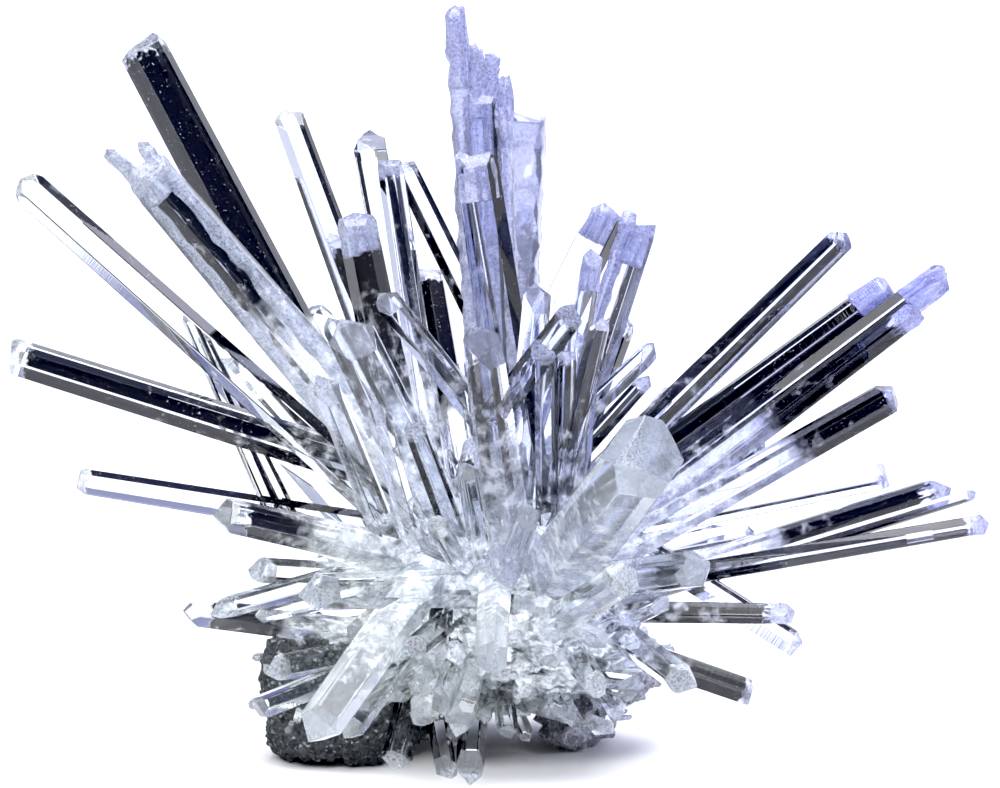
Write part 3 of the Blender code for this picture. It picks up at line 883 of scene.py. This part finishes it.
# %% Crystals behind
BACK = (
    ((-30, 38, 66), (-9, 8, 34), 4.8, 10, "point", "clear"),
    ((-11, 42, 72), (-4, 9, 36), 4.4, 25, "chisel", "back_black"),
    ((4, 38, 82), (0, 9, 38), 3.8, 5, "point", "streaked"),
    ((13, 42, 60), (3, 9, 34), 5.2, 18, "blunt", "window"),
    ((28, 36, 52), (8, 8, 33), 4.2, 30, "chisel", "clear"),
    ((42, 30, 46), (10, 7, 31), 3.8, 0, "point", "back_black"),
    ((-38, 34, 54), (-11, 8, 31), 4.2, 22, "blunt", "streaked"),
    ((-20, 44, 47), (-6, 10, 30), 4.4, 14, "chisel", "window"),
    ((1, 46, 44), (0, 10, 29), 5, 28, "point", "clear"),
    ((19, 44, 36), (5, 10, 28), 4.1, 8, "chisel", "back_black"),
    ((35, 33, 30), (10, 8, 27), 3.8, 20, "blunt", "streaked"),
    ((-37, 30, 34), (-11, 8, 28), 4, 5, "point", "window"),
    ((-29, 38, 27), (-8, 10, 27), 3.6, 30, "chisel", "clear"),
    ((-8, 44, 28), (-3, 11, 27), 3.8, 12, "point", "back_black"),
    ((9, 42, 21), (3, 11, 25), 3.4, 24, "blunt", "streaked"),
    ((26, 34, 18), (8, 9, 24), 3.4, 0, "chisel", "window"),
    ((-4, 34, 58), (-1, 9, 34), 3.4, 16, "chisel", "clear"),
    ((-26, 28, 78), (-7, 8, 38), 3.6, 28, "chisel", "back_black"),
    ((40, 22, 56), (9, 6, 34), 3.2, 12, "point", "streaked"),
)
print(len(BACK), "crystals")


# %% [markdown]
# ## The spray
# Every crystal is a closed body of its own that overlaps its neighbours near the root, as grown
# crystals do, so the borders between them can be seen inside the cluster. Crystals of one region
# are joined into one object.

# %% Build the spray
FLARE = 1.1
GROUPS = {"left": LEFT, "top": TOP, "right": RIGHT, "front": FRONT, "below": BELOW, "back": BACK}


def big_crystal(seed, tip, root, across, turn, end, look, flare=FLARE):
    return crystal((tip, root, across, turn, end, flare) + LOOKS[look], seed)


def make_spray():
    pieces, seed = [], 0
    for name, rows in GROUPS.items():
        made = [big_crystal(seed + n, *row) for n, row in enumerate(rows, 1)]
        seed += len(rows)
        pieces.append(joined("crystals_" + name, made, quartz))
    return pieces


spray = make_spray()
for piece in spray:
    print(piece.name, len(piece.data.polygons), "faces")

# %% [markdown]
# ## Ragged tips
# Some crystals were etched by the water that they grew in, and end in a crown of frosty spikes.
# A handful of thin crystals of unequal length along one axis looks like one eroded tip. Each
# turns on from the last by the golden angle, which fills a disc evenly.

# %% Ragged tips
GOLDEN_ANGLE = math.radians(137.5)
RAGGED_SEED = 40
SPIKE_FOOT = 3
SPIKE_MILK, SPIKE_CAP = 0.85, 9
RAGGED = (
    # which big crystal, radius of the crown, number of spikes, how far they drop back (mm)
    (TOP[5], 1.4, 9, 9),
    (TOP[6], 1.5, 10, 8),
    (TOP[7], 1.3, 9, 8),
    (TOP[8], 1.3, 9, 8),
    (TOP[10], 2.7, 16, 3.5),
    (LEFT[1], 2.7, 15, 2.6),
    (LEFT[2], 0.9, 6, 3),
    (LEFT[3], 0.9, 6, 3),
    (RIGHT[2], 2.0, 14, 4),
    (RIGHT[1], 1.8, 10, 3),
    (TOP[14], 1.8, 11, 3),
    (TOP[13], 2.2, 12, 2.5),
    (TOP[16], 1.1, 8, 2.5),
    (TOP[2], 2.2, 12, 2.5),
)


def ragged_tip(big, radius, count, drop, seed):
    rng = random.Random(seed)
    tip, root = Vector(big[0]), Vector(big[1])
    along = (tip - root).normalized()
    front, side = axes_of(along)
    made = []
    for n in range(count):
        out = radius * math.sqrt((n + 0.3) / count)
        turn = n * GOLDEN_ANGLE + rng.uniform(-0.4, 0.4)
        place = tip + (front * math.cos(turn) + side * math.sin(turn)) * out
        top = place - along * rng.uniform(0, 1) ** 1.5 * drop * (0.3 + 0.7 * out / radius)
        lean = Vector([rng.uniform(-0.12, 0.12) for _ in range(3)])
        foot = place - along * (drop + SPIKE_FOOT) + lean
        across = radius * rng.uniform(0.28, 0.6)
        look = ((), (0, 0), SPIKE_MILK, rng.uniform(0.45, 0.95), SPIKE_CAP)
        row = (top, foot, across, rng.uniform(0, 60), "point", 1.5) + look
        made.append(crystal(row, seed * 50 + n))
    return made


def make_ragged():
    made = []
    for seed, row in enumerate(RAGGED, RAGGED_SEED):
        made += ragged_tip(*row, seed)
    return joined("ragged_tips", made, thin_quartz)


ragged = make_ragged()
print("ragged tips:", len(ragged.data.polygons), "faces")

# %% [markdown]
# ## Small crystals
# Between the big crystals the knot is covered with short ones, of all widths. They start on an
# egg-shaped knot, in directions that the golden angle spreads evenly, and a little random sway
# hides the pattern. Directions that point down too steeply would end in the rock, and are left
# out. One set is of small crystals, one of tiny ones in the gaps.

# %% Small crystals
HEART_CENTRE = Vector((-1, 2, 27))
HEART_HALF = Vector((18, 13.5, 15))
SUNK = 0.75
SWAY = 0.9
SMALL_LOOKS = ("clear", "clear", "streaked", "milky", "icy", "black_end", "clear")
SMALL_ENDS = ("point", "chisel", "blunt", "point")
# number, length and width (mm), lowest direction, seed
SMALL = (110, (6, 16), (1.6, 3.8), -0.72, 500)
TINY = (130, (4.5, 9), (0.8, 1.8), -0.6, 900)


def even_directions(count, lowest):
    for n in range(count):
        height = 1 - 2 * (n + 0.5) / count
        if height < lowest:
            continue
        level = math.sqrt(1 - height * height)
        bearing = n * GOLDEN_ANGLE
        yield Vector((level * math.cos(bearing), level * math.sin(bearing), height))


def small_crystals(count, reach, across, lowest, seed):
    rng = random.Random(seed)
    made = []
    for n, outward in enumerate(even_directions(count, lowest)):
        sway = Vector([rng.uniform(-SWAY, SWAY) for _ in range(3)])
        root = HEART_CENTRE + Vector([outward[k] * HEART_HALF[k] * SUNK for k in range(3)])
        tip = root + (outward + sway).normalized() * rng.uniform(*reach)
        end = rng.choice(SMALL_ENDS)
        look = LOOKS[rng.choice(SMALL_LOOKS)]
        row = (tip, root, rng.uniform(*across), rng.uniform(0, 60), end, 1.15) + look
        made.append(crystal(row, seed + n))
    return made


small = joined("small_crystals", small_crystals(*SMALL), thin_quartz)
tiny = joined("tiny_crystals", small_crystals(*TINY), thin_quartz)
print("small crystals:", len(small.data.polygons) + len(tiny.data.polygons), "faces")

# %% [markdown]
# ## Crystals that lie flat on the knot
# Low down at the front, short thick crystals lie across each other on the knot, instead of
# standing out from it. Each gets a random place on the front of the knot or, lower down, on the
# apron below it, and a direction that runs mostly along the surface.

# %% Lying crystals
APRON_CENTRE = Vector((1, -5, 19.5))
APRON_HALF = Vector((19, 10, 10))
APRON_TOP = math.degrees(0.1)
LYING_COUNT, LYING_SEED = 56, 77
LYING_LOOKS = ("icy", "clear", "clear", "milky", "streaked", "icy", "edged")


def lying_place(bearing, height):
    """A point on the knot or its apron in mm, and the direction straight out of it."""
    outward = direction_of(bearing, height)
    knot = (HEART_CENTRE, HEART_HALF)
    centre, half = (APRON_CENTRE, APRON_HALF) if height < APRON_TOP else knot
    return centre + Vector([outward[k] * half[k] for k in range(3)]), outward


def lying_crystals():
    rng = random.Random(LYING_SEED)
    made = []
    for n in range(LYING_COUNT):
        place, outward = lying_place(rng.uniform(-165, -15), rng.uniform(-48, 38))
        along = Vector((rng.uniform(-1, 1), rng.uniform(-0.35, 0.1), rng.uniform(-0.8, 0.8)))
        if along.x * outward.x < 0:
            along.x = -along.x
        along = (along.normalized() + outward * 0.25).normalized()
        reach = rng.uniform(9, 16)
        look = LOOKS[rng.choice(LYING_LOOKS)]
        end = rng.choice(("point", "chisel", "blunt"))
        tip, root = place + along * reach * 0.55, place - along * reach * 0.45 - outward * 2
        row = (tip, root, rng.uniform(2.6, 4.8), rng.uniform(0, 60), end, 1.1) + look
        made.append(crystal(row, 7000 + n))
    return joined("lying_crystals", made, thin_quartz)


lying = lying_crystals()
print("lying crystals:", len(lying.data.polygons), "faces")

# %% [markdown]
# ## The milky heart
# Where all the crystals start, the quartz is full of tiny bubbles and cracks, and looks white.
# Two craggy lumps, the knot and its apron, stand for it. They are not see-through, which also
# keeps light from wandering on through a hundred clear walls.

# %% Heart
MILKY_TONES = ((0.52, 0.57, 0.6), (0.8, 0.83, 0.87))
MILKY_GREY = (0.3, 0.34, 0.37)
MILKY_CRACK = (0.05, 0.055, 0.06)
LUMP_SPLITS = 6


def make_milky():
    paint, tree = new_material("milky_quartz")
    big, fine = cloud(tree, 6.0, 4.0, 0.6), cloud(tree, 0.9, 5.0, 0.7)
    pale = mixed_colour(tree, step_between(tree, big, 0.35, 0.6), *MILKY_TONES)
    tone = mixed_colour(tree, step_between(tree, fine, 0.38, 0.56), MILKY_GREY, pale)
    tone = mixed_colour(tree, step_between(tree, fine, 0.33, 0.28), tone, MILKY_CRACK)
    bump = node(tree, "ShaderNodeBump", Height=fine, Strength=0.7, Distance=0.8 * MM)
    finish = {"Roughness": 0.35, "IOR": QUARTZ_IOR, "Normal": bump.outputs[0]}
    give_surface(tree, node(tree, "ShaderNodeBsdfPrincipled", Base_Color=tone, **finish))
    return paint


def craggy_lump(centre, half):
    bm = bmesh.new()
    bmesh.ops.create_icosphere(bm, subdivisions=LUMP_SPLITS, radius=1)
    for vert in bm.verts:
        outward = vert.co.copy()
        place = Vector([outward[k] * half[k] for k in range(3)]) + centre
        crags = noise.cell(place / 2.4) * 1.5 + noise.noise(place / 1.1) * 0.8
        vert.co = (place + outward * (crags - 1.0) + PLACE) * MM
    return bm


lumps = [craggy_lump(HEART_CENTRE, HEART_HALF), craggy_lump(APRON_CENTRE, APRON_HALF)]
heart = joined("milky_heart", lumps, make_milky())
print("heart:", len(heart.data.polygons), "faces")

# %% [markdown]
# ## The paint of the rock
# The rock is a mass of dark grains with a few bright glints, and turns pale and crumbly to the
# right. A cell pattern gives every grain its own grey, and noise makes the border wander.

# %% Rock paint
GRAIN = 0.45
DARK_ROCK = ((0.008, 0.009, 0.011), (0.08, 0.09, 0.095))  # darkest and lightest grain
PALE_ROCK = ((0.2, 0.2, 0.25), (0.62, 0.63, 0.74))
GLINT = (0.26, 0.29, 0.31)
GLINT_SPAN = (0.93, 0.97)
PALE_SPAN = (0.006, 0.016)


def make_rock_paint():
    paint, tree = new_material("grey_rock")
    place = node(tree, "ShaderNodeTexCoord").outputs["Object"]
    grain = node(tree, "ShaderNodeTexVoronoi", Vector=place, Scale=1 / (GRAIN * MM))
    spots = node(tree, "ShaderNodeSeparateColor", Color=grain.outputs["Color"])
    dark = mixed_colour(tree, spots.outputs[0], *DARK_ROCK)
    pale = mixed_colour(tree, spots.outputs[0], *PALE_ROCK)
    parts = node(tree, "ShaderNodeSeparateXYZ", Vector=place)
    big, fine = cloud(tree, 5.0, 4.0, 0.6), cloud(tree, 0.5, 4.0, 0.7)
    across = sum_of(tree, "MULTIPLY_ADD", big, 0.012, parts.outputs["X"])
    tone = mixed_colour(tree, step_between(tree, across, *PALE_SPAN), dark, pale)
    glint = step_between(tree, spots.outputs[1], *GLINT_SPAN)
    tone = mixed_colour(tree, glint, tone, GLINT)
    rough = sum_of(tree, "MULTIPLY_ADD", glint, -0.55, 0.75)
    bump = node(tree, "ShaderNodeBump", Height=fine, Strength=0.8, Distance=0.5 * MM)
    finish = {"Roughness": rough, "Normal": bump.outputs[0]}
    give_surface(tree, node(tree, "ShaderNodeBsdfPrincipled", Base_Color=tone, **finish))
    return paint


rock_paint = make_rock_paint()
print("made", rock_paint.name)

# %% [markdown]
# ## The rock
# The cluster grew on this rock. The solid model's rock has the right shape but few faces. A copy
# of it is rebuilt with even half-millimetre faces, which noise then roughens into grains and, on
# the crumbly side, chunks. The underside is kept level so that it still stands flat.

# %% Rock
LEVEL_BELOW = 0.3


def even_rock():
    """A copy of the solid rock with small faces all over."""
    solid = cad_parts["rock"]
    mesh = solid.data.copy()
    mesh.transform(solid.matrix_world)
    rough = bpy.data.objects.new("rock_rough", mesh)
    bpy.context.scene.collection.objects.link(rough)
    remesh = rough.modifiers.new("even_faces", "REMESH")
    remesh.mode = "VOXEL"
    remesh.voxel_size = GRAIN * MM
    bpy.context.view_layer.update()
    graph = bpy.context.evaluated_depsgraph_get()
    even = bpy.data.meshes.new_from_object(rough.evaluated_get(graph))
    rough.modifiers.clear()
    rough.data = even
    return rough


def lift_at(place):
    """How far the rock stands out at a place, both in mm."""
    grains = noise.voronoi(place / 1.7)[0]
    crumbly = max(0.0, min(1.0, place.x / 6))
    chunks = noise.noise(place / 2.6) * 1.6 * crumbly
    return (grains[1] - grains[0]) * 1.1 + noise.noise(place / 0.8) * 0.3 - 0.5 + chunks


def roughen(mesh):
    normals = [vert.normal.copy() for vert in mesh.vertices]
    for vert, normal in zip(mesh.vertices, normals):
        if vert.co.z >= LEVEL_BELOW * MM:
            moved = vert.co + normal * lift_at(vert.co / MM) * MM
            moved.z = max(moved.z, 0.0)
            vert.co = moved


rock = even_rock()
roughen(rock.data)
rock.data.materials.clear()
rock.data.materials.append(rock_paint)
print("rock:", len(rock.data.polygons), "faces")

# %% [markdown]
# ## Druse on the rock
# A crust of tiny crystals is called druse. It covers much of the right foot and gets sparse on
# the left one. Each crystal starts at a face of the rock that was picked at random, and leans a
# little away from the face's direction.

# %% Druse
DRUSE_COUNT, DRUSE_SEED = 420, 31
DRUSE_LOOKS = ("clear", "milky", "streaked", "frosted", "window")
DRUSE_LOWEST = 3.0


def make_druse():
    rng = random.Random(DRUSE_SEED)
    faces = rock.data.polygons
    made = []
    for n in range(DRUSE_COUNT):
        face = faces[rng.randrange(len(faces))]
        start = Vector(face.center) / MM - PLACE
        chance = 0.25 + max(0.0, min(1.0, (start.x - 2) / 8)) * 0.75
        if face.normal.z < -0.2 or start.z < DRUSE_LOWEST or rng.random() > chance:
            continue
        lean = Vector([rng.uniform(-0.5, 0.5) for _ in range(3)])
        along = (Vector(face.normal) + lean).normalized()
        reach = rng.uniform(1.2, 3.4)
        look = LOOKS[rng.choice(DRUSE_LOOKS)]
        across = rng.uniform(0.6, 1.7)
        row = (start + along * reach, start - along, across, rng.uniform(0, 60), "point", 1.1)
        made.append(crystal(row + look, 3000 + n))
    return joined("druse", made, thin_quartz)


druse = make_druse()
print("druse:", len(druse.data.polygons), "faces")

# %% [markdown]
# ## Attach the pieces
# Every piece moves with the one body of this object, and stands for one of the solids.

# %% Finish
for piece in spray + [ragged, small, tiny, lying, heart, druse]:
    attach(piece, "root")
    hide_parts("crystals")
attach(rock, "root")
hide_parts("rock")
